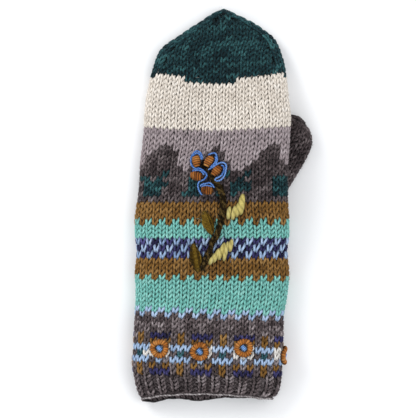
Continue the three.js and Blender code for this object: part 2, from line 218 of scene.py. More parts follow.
def acrossGrid(surface, name, share, along):
    grid = surface[name]
    u = (share % 1.0) * (grid.shape[1] - 1)
    v = np.clip(along - surface["start"], 0, grid.shape[0] - 1.001)
    i, j = u.astype(int), v.astype(int)
    a, b = (u - i)[:, None], (v - j)[:, None]
    low = grid[j, i] * (1 - a) + grid[j, i + 1] * a
    high = grid[j + 1, i] * (1 - a) + grid[j + 1, i + 1] * a
    return low * (1 - b) + high * b


# Middle line of a yarn over a tube: points, outward normals, and 0 to 1 for how far each is from low to high
# The last of these sets its painted shade: yarn that lies lower is painted darker
def yarnOn(surface, share, along, lift, low=0, high=1):
    share, along, lift = [part.ravel() for part in np.broadcast_arrays(np.asarray(share, float), along, lift)]
    normals = acrossGrid(surface, "normals", share, along)
    points = acrossGrid(surface, "points", share, along) + normals * lift[:, None]
    level = np.clip((lift - low) / (high - low), 0, 1)
    return np.hstack((points, normals, level[:, None]))


def onSurface(surface, share, along, lift=0.0):
    return yarnOn(surface, share, along, lift)[:, :3]


def alongSurface(surface, name, along):
    return np.interp(along, surface["start"] + np.arange(len(surface[name])), surface[name])


# From and to, along each tube
body = makeSurface(bodyRow, -2, 275)
thumb = makeSurface(thumbRow, -12, 86)


def columnShare(column, along):
    turn = 2 * np.pi * column / form["stitches"]
    bias = form["columnBias"] * (1 - np.cos(turn)) / 2
    return column / form["stitches"] + bias / alongSurface(body, "lengths", along)


def toFrame(points):
    return (points + np.array(form["shift"])) * 0.001


print("surfaces ready")

# Letters of the charts: the yarn, its colour as seen, its darker and lighter fibres, how strongly they show,
# and how dark the painted shade in its hollows is
wools = {
    "C": ["Charcoal", "625657", "1e1718", "b8acad", 0.85, 1.2],
    # D is a darker copy of Charcoal: on the thumb it is painted shade; on the hand's last row and the fingers'
    # band it gives the darker charcoal seen there
    "D": ["DarkGrey", "4e4344", "130e0e", "958989", 0.85, 1.45],
    "N": ["Navy", "32305b", "0a081c", "6c68a8", 0.85, 1.2],
    "B": ["Brown", "8e662f", "472b0d", "c19a64", 0.6, 1.15],
    "L": ["LightBlue", "b2ccec", "5a78ac", "dae8fb", 0.4, 0.95],
    # S is a darker copy of LightBlue with deeper hollows: painted shade on the light stitches between the navy
    # ones of the stripes
    "S": ["StripeBlue", "9fbadf", "2c4682", "d2e1f9", 0.55, 1.5],
    "G": ["SeaTeal", "2b5861", "0a1d21", "7aabb0", 0.7, 1.0],
    "W": ["White", "f1ece5", "c9c0b7", "fdfbf8", 0.15, 0.6],
    "T": ["Teal", "16363c", "020d11", "4f8a8b", 0.75, 1.5],
    "Q": ["Turquoise", "84cdc2", "3a8f83", "bdf2e7", 0.35, 0.9],
    "M": ["Mauve", "aa9c9e", "6e6468", "d2c8ca", 0.45, 0.8],
    "K": ["Cream", "f0e6d9", "b5a89a", "fdf7ef", 0.5, 0.48],
}

knit = {
    "samples": 10,  # points of yarn in a stitch
    "loop": 1.62,  # height of a loop, in rows
    "lean": (0.13, 0.34),  # how far the two legs of a V lean, in stitch widths
    "dip": 0.72,  # how far a loop's ends pass behind its legs
    "yarn": 1.08,  # yarn radius
    "swell": (0.68, 0.32),  # part of it at a loop's ends, and what its legs have more
    "purlSink": 1.5,  # how much deeper the purl columns of the rib lie
    "purlDip": 0.8,
    "knitPart": 0.7,  # part of the rib's width that its knit columns take
    "tuck": 3.1,  # depth at which a yarn's run begins and ends inside
    "tuckAcross": 0.56,  # and how far from its last stitch's middle
    "phase": 0.8,  # column of the first stitch's middle
    "wall": 5.0,  # depth that a loop of the inner face is measured from
    # spread from stitch to stitch
    "uneven": {"across": 0.03, "size": 0.03, "up": 0.09, "tipUp": 0.08, "deep": 0.1, "thick": 0.03,
               "tone": 1},
}

# Bands from the cuff up: piece, top, charts of the rows from below, stitch that the first letter is on
bands = [
    ("wrist", 31.33, ["NNCBCN", "CBCBCB", "LCLLLC"], 4),
    ("wrist", 35.37, ["CGWWWWCGCWWW" + "CGCWWW" * 6], 0),
    ("wrist", 47.5, ["WWLLLW", "CBCBCB", "NNCBCN"], 4),
    ("hand", 58.3, ["C"] * 3, 0),
    ("hand", 64.9, ["CL", "LQ"], 0),
    ("hand", 84.2, ["Q"] * 6, 0),
    ("hand", 87.6, ["QB"], 0),
    ("hand", 99.4, ["B"] * 3, 0),
    ("hand", 113.2, ["SN" * 6 + "LN" * 6 + "SN" * 12, "NS" * 6 + "NL" * 6 + "NS" * 12,
                     "SN" * 6 + "LN" * 6 + "SN" * 12], 0),
    ("hand", 122.1, ["Q"] * 3, 0),
    ("hand", 126.3, ["QB"], 0),
    ("hand", 138.0, ["B"] * 3, 0),
    ("hand", 142.1, ["D"], 0),
    ("fingers", 155.9, ["DTTTDDDTTTDDTDTDDDDDTTTD" + "DTTTDD" * 4,
                        "DTTTDDDDTTDDDDTTTDDDTTTD" + "DTTTDD" * 4,
                        "DTTTTDDDTTDDDDTTTDDDTTTD" + "DTTTTD" * 4,
                        "TTDTDDDDTTDDDDDTDDDDTTTD" + "DTTTDD" * 4], 0),
    ("fingers", 160.1, ["DDDDTDDDDDDDDTDDTDDDDDDD" + "DDDDTD" * 4], 0),
    ("fingers", 178.0, ["DDDDDDDMDDDDDDMMDDDDDDDD" + "DDDDDDDM" * 3,
                        "MDDDDDMMMDDDDDMMMDDDDDMM" + "MDDDDDMM" * 3,
                        "MDDDDDMMMMDDDMMMMMDDDMMM" + "MMDDDMMM" * 3,
                        "MMDDDDMMMMDDDMMMMMDDDMMM" + "MMDDDMMM" * 3,
                        "MMMDDMMMMMMDMMMMMMMDDMMM" + "MMMDMMMM" * 3], 0),
    ("fingers", 189.8, ["M"] * 3, 0),
    ("fingers", 224.3, ["K"] * 10, 0),
    ("fingers", 227.7, ["TKKKKKTTTTTTTTKKKKKKKKTT" + "T" * 24], 0),
]


def rowsOf(bands, start):
    rows = []
    for piece, top, charts, first in bands:
        height = (top - start) / len(charts)
        for n, chart in enumerate(charts):
            letters = "".join(chart[(k - first) % len(chart)] for k in range(form["stitches"]))
            middle = start + (n + 0.5) * height
            rows.append({"piece": piece, "middle": middle, "height": height, "yarns": letters})
        start = top
    return rows


cuffRows = rowsOf([("cuff", form["cuffLength"], ["C"] * 5, 0)], 2.4)
patternRows = rowsOf(bands, form["cuffLength"] + 0.3)

strands = {}  # lengths of yarn, by the name of the piece that they are part of


# Thickness and tone are one number, or one for each spot
def addStrand(piece, spots, thickness, tone, closed=False):
    thickness, tone = (np.broadcast_to(value, len(spots)) for value in (thickness, tone))
    strands.setdefault(piece, []).append((spots, thickness, tone, closed))


# Range of depths that a knitted yarn's middle line has, deepest first; yarn at the deepest gets the most painted
# shade
knitRange = (-knit["yarn"] - 2 * knit["dip"] - 0.2, -knit["yarn"])

# One loop of the knitting: across in stitch widths, up in loop heights, dip 1 where it lies deepest
loopTurn = 2 * np.pi * np.arange(knit["samples"]) / knit["samples"]
loopLean = np.where(loopTurn < np.pi, knit["lean"][0], knit["lean"][1])
loopAcross = loopTurn / (2 * np.pi) - 0.5 + loopLean * np.sin(2 * loopTurn)
loopUp = -0.5 * np.cos(loopTurn)
loopDip = 0.5 + 0.5 * np.cos(2 * loopTurn)
loopSwell = knit["swell"][0] + knit["swell"][1] * np.sin(loopTurn) ** 2


# One random value for each stitch, given to all of its points
def vary(part, count):
    return np.repeat(dice.normal(0, knit["uneven"][part], count), knit["samples"])


def withEnds(first, values, last):
    return np.concatenate(([first], values, [last]))


# Lays a run of stitches: place turns (stitch, across, along) into a share of the way round
def layRun(piece, surface, stitches, row, place, closed, purl=None, inner=False):
    count, samples = len(stitches), knit["samples"]
    index = np.repeat(stitches, samples)
    across = np.tile(loopAcross, count) + vary("across", count)
    loose = 1 + vary("size", count)
    along = row["middle"] + knit["loop"] * row["height"] * np.tile(loopUp, count) * loose + vary("up", count)
    dip = np.tile(loopDip, count)
    depth = knit["yarn"] + 2 * knit["dip"] * dip + np.abs(vary("deep", count))
    if purl is not None:
        flipped = np.repeat(purl[stitches % form["stitches"]], samples)
        depth = np.where(flipped, knit["yarn"] + knit["purlSink"] + knit["purlDip"] * (1 - dip), depth)
        across = across * np.where(flipped, 1 - knit["knitPart"], knit["knitPart"]) * 2
    thickness = knit["yarn"] * np.tile(loopSwell, count) * (1 + vary("thick", count))
    tone = vary("tone", count)
    if not closed:
        index = withEnds(index[0], index, index[-1])
        across = withEnds(-knit["tuckAcross"], across, knit["tuckAcross"])
        along = withEnds(along[0], along, along[0])
        depth = withEnds(knit["tuck"], depth, knit["tuck"])
        thickness = withEnds(thickness[0], thickness, thickness[-1])
        tone = withEnds(tone[0], tone, tone[-1])
    share = place(index, across, along)
    low = knitRange[0] - (knit["purlSink"] if purl is not None else 0)
    spots = yarnOn(surface, share, along, -depth, low, knitRange[1])
    if inner:
        level = spots[:, 6:]
        spots = yarnOn(surface, share, along, depth - knit["wall"], low, knitRange[1])
        spots = np.hstack((spots[:, :3], -spots[:, 3:6], level))
    addStrand(piece, spots, thickness, tone, closed)


def placeOnHand(stitch, across, along):
    return columnShare(stitch + knit["phase"] + across, along)


def placeOnThumb(stitch, across, along):
    return (stitch + 0.5 + across) / form["thumbStitches"]


# Stretches of one yarn round a row, from a change of yarn onwards
def runsOf(yarns):
    count = len(yarns)
    starts = [k for k in range(count) if yarns[k] != yarns[k - 1]]
    if not starts:
        return [(yarns[0], np.arange(count), True)]
    ends = starts[1:] + [starts[0] + count]
    return [(yarns[a], np.arange(a, b), False) for a, b in zip(starts, ends)]


woolOf = {"cuffCharcoal": "C", "tipTeal": "T", "thumbDarkGrey": "D"}  # letter of each piece of knitting


def knitRows():
    everyStitch = np.arange(form["stitches"])
    for row in cuffRows:
        layRun("cuffCharcoal", body, everyStitch, row, placeOnHand, True, purl=everyStitch % 2 == 1)
    for row in cuffRows[:3]:  # what is seen of the palm's side through the mouth
        layRun("cuffCharcoal", body, np.arange(26, 46), row, placeOnHand, False, inner=True)
    for row in patternRows:
        for yarn, stitches, closed in runsOf(row["yarns"]):
            piece = row["piece"] + wools[yarn][0]  # with the yarn's name
            woolOf[piece] = yarn
            layRun(piece, body, stitches, row, placeOnHand, closed)


# Cast-on edge: two strands twisted round each other along the mouth, and one thicker under them
castOn = {"points": 12, "place": 0.8, "twist": 0.34, "yarn": 0.46, "under": (1.9, 2.3, 1.15)}


def knitEdge():
    count = form["stitches"] * castOn["points"]
    column = np.arange(count) / castOn["points"]
    wave = 2 * np.pi * column * 2
    for phase in (0, np.pi):
        along = castOn["place"] + castOn["twist"] * np.sin(wave + phase) + 0.25 * np.sin(wave / 7)
        depth = castOn["place"] + castOn["twist"] * np.cos(wave + phase)
        spots = yarnOn(body, columnShare(column, along), along, -depth, *knitRange)
        width = castOn["yarn"] * (0.85 + 0.25 * np.sin(wave / 3.3 + 2 * phase))
        addStrand("cuffCastOn", spots, width, 0.5 + 1.6 * np.sin(wave / 3.7 + phase), True)
    place, depth, width = castOn["under"]
    along = place + 0.3 * np.sin(wave / 4)
    spots = yarnOn(body, columnShare(column, along), along, -depth, *knitRange)
    addStrand("cuffCharcoal", spots, width, 0, True)


# Tip: rows and where they run, stitch width, stitches in a fold's band, its rise and the length of that
tip = {"rows": 13, "start": 227.8, "end": 270.6, "top": 269.8, "width": 4.6, "band": 2, "rise": 0.7,
       "riseOver": 16}


# Centre wales run straight up and vanish one by one under a two-stitch band along each fold
def knitTip():
    height = (tip["end"] - tip["start"]) / tip["rows"]
    width, samples = tip["width"], knit["samples"]
    for n in range(tip["rows"]):
        middle = tip["start"] + (n + 0.5) * height
        length = float(alongSurface(body, "lengths", middle))
        fold = float(alongSurface(body, "folds", middle)) * length
        spots = []  # face, part of its width that it is measured from, distance
        for face, half in ((0, fold / 2), (1, (length - fold) / 2)):
            band = [(k + 0.5) * width for k in range(tip["band"]) if (k + 0.4) * width < half]
            reach = int((half - (tip["band"] + 0.1) * width) / width + 0.5)
            spots += [(face, 0, spot) for spot in band]
            spots += [(face, 0.5, (k + 0.5) * width) for k in range(-reach, reach)]
            spots += [(face, 1, -spot) for spot in reversed(band)]
        count = len(spots)
        up = np.tile(loopUp, count) * knit["loop"] * height
        along = np.minimum(middle + up + vary("tipUp", count), tip["top"])
        lengths = alongSurface(body, "lengths", along)
        folds = alongSurface(body, "folds", along) * lengths
        face, edge, spot = (np.repeat(values, samples) for values in zip(*spots))
        first, last = np.where(face == 0, 0, folds), np.where(face == 0, folds, lengths)
        arc = first + (last - first) * edge + spot + np.tile(loopAcross, count) * width
        rise = tip["rise"] * min(max((middle - tip["start"]) / tip["riseOver"], 0), 1)
        lift = np.where((edge != 0.5) & (face == 0), rise, 0)
        depth = knit["yarn"] + 2 * knit["dip"] * np.tile(loopDip, count) - lift + np.abs(vary("deep", count))
        spots = yarnOn(body, arc / lengths, along, -depth, *knitRange)
        addStrand("tipTeal", spots, knit["yarn"] * np.tile(loopSwell, count), vary("tone", count), True)


# Thumb: rows and where they run, and the stitch width under which every two stitches become one
thumbKnit = {"rows": 21, "start": 3.0, "end": 80.6, "narrow": 3.2}


def knitThumb():
    height = (thumbKnit["end"] - thumbKnit["start"]) / thumbKnit["rows"]
    count = form["thumbStitches"]
    for n in range(thumbKnit["rows"]):
        row = {"middle": thumbKnit["start"] + (n + 0.5) * height, "height": height}
        if float(alongSurface(thumb, "lengths", row["middle"])) / count > thumbKnit["narrow"]:
            layRun("thumbDarkGrey", thumb, np.arange(count), row, placeOnThumb, True)
        else:
            layRun("thumbDarkGrey", thumb, np.arange(count // 2), row,
                   lambda stitch, across, along: (stitch + 0.5 + across) * 2 / count, True)


# Rings of yarn that draw the open end of a tube together, ending in a small knot
def drawTogether(piece, surface, along, heading, bulge):
    count = 40
    turn = np.arange(count) / count
    ring = onSurface(surface, turn, along, -1.0)
    middle = ring.mean(axis=0)
    heading = np.array(heading)
    for part in (0.92, 0.66, 0.38, 0.12):
        wave = 0.3 * np.sin(2 * np.pi * 5 * turn)[:, None] * heading
        spots = middle + (ring - middle) * part + heading * bulge * (1 - part) + wave
        facing = (ring - middle) * part * 0.2 + heading
        facing = facing / np.linalg.norm(facing, axis=1, keepdims=True)
        # 0.8 is the height the rings count as lying at, which sets their painted shade
        addStrand(piece, np.hstack((spots, facing, np.full((count, 1), 0.8))), 0.95, dice.normal(0, 1), True)


knitRows()
knitEdge()
knitTip()
knitThumb()
drawTogether("thumbDarkGrey", thumb, 81.6, (*sinCos(form["thumbTurn"]), 0), 1.6)
drawTogether("tipTeal", body, 270.0, (0, 1, 0), 1.4)
print("rows knitted:", sum(len(parts) for parts in strands.values()), "lengths of yarn")


# Share of the way round and length along at which plan points of the back lie
def onBack(x, y):
    x, y = np.atleast_1d(np.asarray(x, float)), np.atleast_1d(np.asarray(y, float))
    along = y.copy()
    for _ in range(4):
        share = np.empty_like(x)
        for k in range(len(x)):
            row = int(round(along[k] - body["start"]))
            back = int(body["folds"][row] * (len(gridShares) - 1))
            share[k] = np.interp(x[k], body["points"][row, :back, 0], gridShares[:back])
        along += y - onSurface(body, share, along)[:, 1]
    return share, along


# Yarn laid on the back: plan points with the height of the yarn's middle over the knitting
# low and high are the heights of its middle between which its painted shade fades out
def layOnBack(piece, x, y, height, thickness, tone, low=0.2, high=1.6):
    share, along = onBack(x, y)
    addStrand(piece, yarnOn(body, share, along, height, low, high), thickness, tone)


# The same at a distance to the right of the points of a path
def layBeside(piece, spots, sideways, off, height, thickness, tone):
    place = spots + sideways * off[:, None]
    layOnBack(piece, place[:, 0], place[:, 1], height, thickness, tone)


rosette = {
    "places": [[4.9, 36.7], [10.6, 35.6], [16.75, 39], [23.7, 34], [29, 36.5], [34.8, 37], [40.4, 36],
               [45.6, 36.5]],
    "radius": 4.5,  # of the ring's middle line
    "width": 4.3,  # of the ring from its inside to its outside
    "height": 3.7,
    "wraps": 19,
    "yarn": 0.86,
    "perWrap": 11,  # points of yarn in a wrap
    "eyeYarn": 0.58,
    "eyeGap": 1.05,
    "eyeReach": 1.75,
    "eyeHeight": 2.1,
}


# A ring of bullion wraps sewn round a knot, on the knitting at a stitch column and row
def sewRosettes():
    for n, (column, along) in enumerate(rosette["places"], 1):
        share = float(columnShare(column, along))
        length = float(alongSurface(body, "lengths", along))
        turn = np.linspace(0, 2 * np.pi, rosette["wraps"] * rosette["perWrap"], endpoint=False)
        wrap = turn * rosette["wraps"] + dice.normal(0, 0.06, len(turn)).cumsum() * 0.1
        yarn = rosette["yarn"]
        out = rosette["radius"] + (rosette["width"] / 2 - yarn) * np.cos(wrap)
        out = out + 0.25 * np.sin(3 * turn + dice.uniform(0, 6))
        rise = yarn - 1.0 + (rosette["height"] / 2 - yarn) * (1 + np.sin(wrap))
        spots = yarnOn(body, share + out * np.cos(turn) / length, along + out * np.sin(turn), rise, 0.5, 2.6)
        tone = np.repeat(dice.normal(0, 1, rosette["wraps"]), rosette["perWrap"])
        addStrand(f"rosetteRing{n}", spots, yarn * (1 + 0.2 * np.cos(wrap)), 2 * tone, True)
        sin, cos = sinCos(25 + dice.uniform(-25, 25))
        for k in (-1.5, -0.5, 0.5, 1.5):
            t = np.linspace(-1, 1, 9)
            side, ahead = k * rosette["eyeGap"] + 0 * t, rosette["eyeReach"] * t * (1 - 0.1 * abs(k))
            across, up = side * cos + ahead * sin, ahead * cos - side * sin
            rise = -0.2 + (rosette["eyeHeight"] - 0.35 * abs(k)) * arch(t, 0.92)
            spots = yarnOn(body, share + across / length, along + up, rise, 0.6, 2.2)
            width = rosette["eyeYarn"] * (0.8 + 0.2 * (1 - t * t))
            addStrand(f"rosetteEye{n}", spots, width, dice.normal(0, 1))


flower = {
    # x, y, long side, wide side, turn of the long side from +Y
    "petals": [
        [-10.3, 165.4, 8, 5.6, -12],
        [-1.9, 165.4, 8.4, 5.6, 28],
        [3.2, 159.2, 8.2, 5.2, 38],
        [-10.4, 155.4, 8.4, 6.2, 95],
        [-3.3, 146, 8.1, 5.6, 95],
    ],
    "wraps": 5,
    "perWrap": 12,
    "height": 3.2,
    "yarn": 0.74,
    # plan paths of the blue threads round each petal
    "threads": [
        [[[-11.4, 160.5], [-13.4, 162.2], [-14.3, 165], [-14.05, 168.1], [-12.4, 171], [-10.1, 172.4],
          [-7.7, 171], [-6.6, 168.5], [-6.5, 166.7]],
         [[-12.8, 169.1], [-11.05, 170.7], [-9.1, 170.6], [-7.65, 168.7], [-7, 166.5]]],
        [[[-2.65, 169.6], [-0.3, 170.6], [2.2, 170.7], [3.3, 168.1], [3.2, 165], [1.25, 162.2], [-1.5, 160.3],
          [-2.65, 159.8]],
         [[2.4, 168.5], [2.4, 165.35], [0.5, 163], [-1.1, 161.45]]],
        [[[0.9, 161.45], [2.8, 163], [5.55, 164.4], [7.9, 164.4], [9.4, 162.6], [9.1, 159.5], [8.1, 156],
          [5.9, 153.25], [3.4, 152.3], [2, 152.7], [2.4, 154], [4.4, 154.8], [6.7, 156.4]],
         [[6.3, 163], [7.9, 161.45], [7.6, 158.7], [6.3, 156.4]]],
        [[[-13.2, 158.7], [-11.2, 160.1], [-8.9, 160.7], [-6.6, 159.7], [-4.6, 157.7], [-3.6, 156.2],
          [-4.4, 154.4], [-5.8, 153]],
         [[-11.6, 159.1], [-8.9, 159.4], [-6.75, 158.3], [-5.4, 156.4]]],
        [[[-5.8, 152.9], [-8.5, 151.9], [-9.5, 149.7], [-9.2, 147], [-7.9, 144.3], [-6.95, 142.9]],
         [[-8.1, 148.95], [-6.2, 150.1], [-3.8, 150.5], [-1.9, 151], [0.1, 149.7], [1.1, 147.8]],
         [[-7.3, 148], [-5.4, 148.95], [-2.65, 148.95], [-0.3, 148.6]]],
    ],
    "thread": 0.43,
    "threadTwist": 3.2,  # millimetres for a turn of its two strands
    "threadHeight": 1.25,
}


# Smooth path through plan points: even points, their sideways directions and their distances from the start
def smoothPath(path, count):
    path = np.array(path, float)
    ghost = np.vstack((2 * path[0] - path[1], path, 2 * path[-1] - path[-2]))
    spots = []
    for i in range(1, len(ghost) - 2):
        p0, p1, p2, p3 = ghost[i - 1:i + 3]
        t = np.linspace(0, 1, 24, endpoint=False)[:, None]
        curve = 2 * p1 + (p2 - p0) * t + (2 * p0 - 5 * p1 + 4 * p2 - p3) * t * t
        spots.append(0.5 * (curve + (3 * p1 - p0 - 3 * p2 + p3) * t ** 3))
    spots = np.vstack(spots + [ghost[-2:-1]])
    arc = np.concatenate(([0], np.cumsum(np.hypot(*np.diff(spots, axis=0).T))))
    even = np.linspace(0, arc[-1], count)
    spots = np.stack([np.interp(even, arc, spots[:, k]) for k in (0, 1)], axis=1)
    heading = np.gradient(spots, axis=0)
    heading /= np.linalg.norm(heading, axis=1, keepdims=True)
    return spots, np.stack((heading[:, 1], -heading[:, 0]), axis=1), even


def sewPetals():
    wraps, yarn, thread, perWrap = flower["wraps"], flower["yarn"], flower["thread"], flower["perWrap"]
    for n, (x, y, long, wide, turn) in enumerate(flower["petals"], 1):
        sin, cos = sinCos(turn)
        t = np.linspace(-0.93, 0.93, wraps * perWrap)
        wrap = np.arange(len(t)) * 2 * np.pi / perWrap
        swell = np.sqrt(1 - t * t) ** 0.8
        side = (wide / 2 - yarn * 0.6) * swell * np.cos(wrap)
        ahead = (long / 2 - yarn * 0.4) * t + 0.35 * np.cos(wrap)
        rise = 0.3 + yarn * 0.8 + (flower["height"] / 2 - yarn * 0.6) * swell * (1 + np.sin(wrap))
        tones = np.repeat(dice.normal(0, 2, wraps), perWrap)
        layOnBack(f"petal{n}", x + ahead * sin + side * cos, y + ahead * cos - side * sin, rise, yarn, tones,
                  0.4, 2.2)
        for path in flower["threads"][n - 1]:
            length = sum(math.dist(a, b) for a, b in zip(path, path[1:]))
            spots, sideways, even = smoothPath(path, int(length / 0.4) + 4)
            for phase in (0, np.pi):
                twist = 2 * np.pi * even / flower["threadTwist"] + phase
                off, up = 0.6 * thread * np.cos(twist), 0.6 * thread * np.sin(twist)
                rise = flower["threadHeight"] + up
                layBeside(f"petalEdge{n}", spots, sideways, off, rise, thread, dice.normal(0, 2))


stem = {
    "path": [[-3.4, 160.5], [-1.1, 156.4], [1.6, 151.6], [5, 147.8], [6.7, 142.7], [7.1, 136.8], [6.6, 130.2],
             [5.2, 122.4], [2.9, 115.6], [-0.5, 110], [-2.2, 103.5], [-5, 98.5], [-6.7, 91.4]],
    "plies": 6,
    "ply": 0.95,
    "spread": 1.8,  # of the plies to each side
    "pitch": 15,
    "lowStart": (3.0, 18.0),  # between these lengths from the flower it comes up to its full height
    "heights": (0.1, 0.6),  # part of it at the start, and what it gains
    "infill": [[-6.4, 163], [-5.6, 161.4], [-2.4, 158.4], [-0.4, 152.8], [-1.6, 155]],
}


def stemHeight(even):
    first, last = stem["lowStart"]
    return stem["heights"][0] + stem["heights"][1] * smooth((even - first) / (last - first))


def sewStem():
    count = 80
    spots, sideways, even = smoothPath(stem["path"], count)
    full = np.clip(np.minimum(np.arange(count), np.arange(count)[::-1]) / 5, 0, 1) * 0.55 + 0.45
    high = stemHeight(even)
    full = full * (0.25 + 0.75 * high)  # how thick it is: thin at both ends and where it lies low
    for k in range(stem["plies"]):
        twist = 2 * np.pi * (even / stem["pitch"] + k / stem["plies"]) + 0.7 * np.sin(even * 0.4 + 1.9 * k)
        bulge = 1 + 0.18 * np.sin(even * 0.52) + 0.1 * np.sin(even * 1.3 + k)
        off = stem["spread"] * full * bulge * np.cos(twist)
        rise = 0.5 + high * (0.6 + 0.85 * full * (1 + np.sin(twist)))
        width = stem["ply"] * (0.75 + 0.25 * full) * (1 + 0.16 * np.sin(even * 1.7 + 2 * k))
        layBeside("flowerStem", spots, sideways, off, rise, width, dice.normal(0, 1.5))
    for x, y in stem["infill"]:
        lean, reach = dice.uniform(-0.7, 0.9), dice.uniform(2.2, 3.2)
        t = np.linspace(-1, 1, 7)
        rise = 0.5 + 0.7 * arch(t, 0.9)
        layOnBack("flowerStem", x + reach * t * math.sin(lean), y + reach * t * math.cos(lean), rise, 0.6,
                  dice.normal(0, 1))


leaves = {
    # strands of a light leaf: x, y of the middle, length, lean from +Y to the right, thickness
    "leafLight1": [[11.3, 130.6, 8.8, 8, 3.3], [14.6, 130.6, 9.8, 11.5, 3.3], [17.2, 132.7, 10, 9, 3.3],
                   [19.9, 136.4, 14.2, 6.5, 4.6]],
    "leafLight2": [[-0.35, 98.9, 8.4, 23, 3.3], [2.8, 101.4, 10.6, 23, 3.4], [6.3, 104.3, 12.4, 19, 3.4],
                   [9.2, 104.3, 13.6, 12, 3.2], [12.7, 108.3, 8.8, 10, 3.2]],
    # path of a dark leaf from its stem end to its tip
    "leafDark1": [[-0.4, 115.8], [-2.7, 123.4], [-6.1, 132.2]],
    "leafDark2": [[-13.2, 110.2], [-11.7, 100.4], [-9.7, 89.6]],
    "darkWidth": 8.2,
    "darkStrands": 9,
    "darkYarn": 0.54,
}


# Light leaves are a few fat slanting stitches in a row, dark ones long fine stitches side by side
def sewLeaves():
    for name in ("leafLight1", "leafLight2"):
        for x, y, length, lean, width in leaves[name]:
            t = np.linspace(-1, 1, 11)
            sin, cos = sinCos(lean)
            bow = 0.3 * (1 - t * t)
            swell = np.sqrt(1 - 0.86 * np.abs(t) ** 2.6)
            rise = width * (0.25 * arch(t, 0.92) - 0.05)
            xs, ys = x + length / 2 * t * sin - bow * cos, y + length / 2 * t * cos + bow * sin
            for k in (-1, 1):
                turn = np.pi * 0.3 * t + (k + 1) * np.pi / 2
                off, up = width * 0.09 * swell * np.cos(turn), width * 0.06 * swell * np.sin(turn)
                x2, y2 = xs + off * cos, ys - off * sin
                layOnBack(name, x2, y2, rise + up, width * 0.42 * swell, dice.normal(0, 2))
    count, width, yarn = leaves["darkStrands"], leaves["darkWidth"], leaves["darkYarn"]
    for name in ("leafDark1", "leafDark2"):
        spots, sideways, _ = smoothPath(leaves[name], 33)
        for k in range(count):
            off = (k / (count - 1) - 0.5) * 2
            reach = math.sqrt(1 - 0.8 * off * off) * dice.uniform(0.9, 1.0)
            t = np.linspace(-1, 1, 13)
            index = np.clip(np.round((0.5 + 0.5 * t * reach) * 32), 0, 32).astype(int)
            side = off * (width / 2 - yarn) * (0.45 + 0.55 * arch(t, 0.85))
            rise = 0.4 + (0.9 + 0.55 * (1 - off * off) + dice.uniform(0, 0.3)) * arch(t, 0.93)
            layBeside(name, spots[index], sideways[index], side, rise, yarn, dice.normal(0, 3))


sewRosettes()
sewPetals()
sewStem()
sewLeaves()
print("embroidery sewn")

fuzz = {
    "onHand": 3600,  # fibres
    "onThumb": 450,
    "onStem": 420,
    "onLeaf": 110,
    "thickness": 0.045,
    "length": (1.2, 4.2),
    "stand": 0.35,
    "sink": 0.4,  # how far under the knitting's face a fibre starts
    "floor": 0.15,  # none goes lower than this
    "alongStem": (2.2, 2.9),  # how far to each side they start, and how high in the middle
    "alongLeaf": (2.8, 2.1),
    "stemTints": ("1d150b", "3f331c", "7a6c55", "5f522e"),
    "leafTints": ("3f300f", "7a6428", "9a8648"),
}


def letterAt(column, along):
    if along < form["cuffLength"]:
        return "C"
    if along > tip["start"]:
        return "T"
    for row in patternRows:
        if along <= row["middle"] + row["height"] / 2:
            return row["yarns"][int(math.floor(column + 0.5 - knit["phase"])) % form["stitches"]]
    return "K"


# Loose fibres that stand off the yarn, as thin curved lengths with the colour of the yarn under them
def raiseFuzz(surface, count, start, stop, letterOf):
    share, along = dice.uniform(0, 1, count), dice.uniform(start, stop, count)
    for k in range(count):
        reach = dice.uniform(*fuzz["length"])
        angle, bend = dice.uniform(0, 2 * np.pi), dice.normal(0, 0.5)
        t = np.linspace(0, 1, 4)
        heading = angle + bend * t
        girth = float(alongSurface(surface, "lengths", along[k]))
        across = share[k] + reach * t * np.cos(heading) / girth
        up = along[k] + reach * t * np.sin(heading)
        lift = -fuzz["sink"] + reach * fuzz["stand"] * dice.uniform(0.2, 1) * np.sin(t * 2.2)
        spots = yarnOn(surface, across, up, lift, -1, 0)
        if spots[:, 2].min() < fuzz["floor"]:
            continue
        _, base, _, light, *_ = wools[letterOf(share[k] * form["stitches"], along[k])]
        fibres.append((spots, np.add(linear(base), linear(light)) / 2))


# The stem's yarn is hairier, and so are the dark leaves': short fibres stand out all along them
def raiseFuzzAlong(path, hairs, reachOut, tallest, heightAt, tints):
    count = 200
    path, sideways, even = smoothPath(path, count)
    for _ in range(hairs):
        k = int(dice.integers(0, count))
        side = dice.uniform(-1, 1)
        start = path[k] + sideways[k] * side * reachOut
        angle, reach = dice.uniform(0, 2 * np.pi), dice.uniform(1.0, 3.0)
        t = np.linspace(0, 1, 4)
        heading = angle + dice.normal(0, 0.6) * t
        xs, ys = start[0] + reach * t * np.cos(heading), start[1] + reach * t * np.sin(heading)
        share, along = onBack(xs, ys)
        lift = (tallest - 1.5 * abs(side)) * heightAt(even[k]) + reach * 0.3 * np.sin(t * 2.4) - 0.6 * t
        tint = np.array(linear(tints[int(dice.integers(0, len(tints)))]))
        fibres.append((yarnOn(body, share, along, lift, -1, 0), tint))


def linear(code, strength=1.0):
    parts = [int(code[i:i + 2], 16) / 255 for i in (0, 2, 4)]
    return [min(1.0, strength * (c / 12.92 if c <= 0.04045 else ((c + 0.055) / 1.055) ** 2.4)) for c in parts]


fibres = []
raiseFuzz(body, fuzz["onHand"], 0, 270, letterAt)
raiseFuzz(thumb, fuzz["onThumb"], 12, 81, lambda column, along: "D")
raiseFuzzAlong(stem["path"], fuzz["onStem"], *fuzz["alongStem"], stemHeight, fuzz["stemTints"])
for name in ("leafDark1", "leafDark2"):
    raiseFuzzAlong(leaves[name], fuzz["onLeaf"], *fuzz["alongLeaf"], lambda even: 1.0, fuzz["leafTints"])
print("loose fibres:", len(fibres))


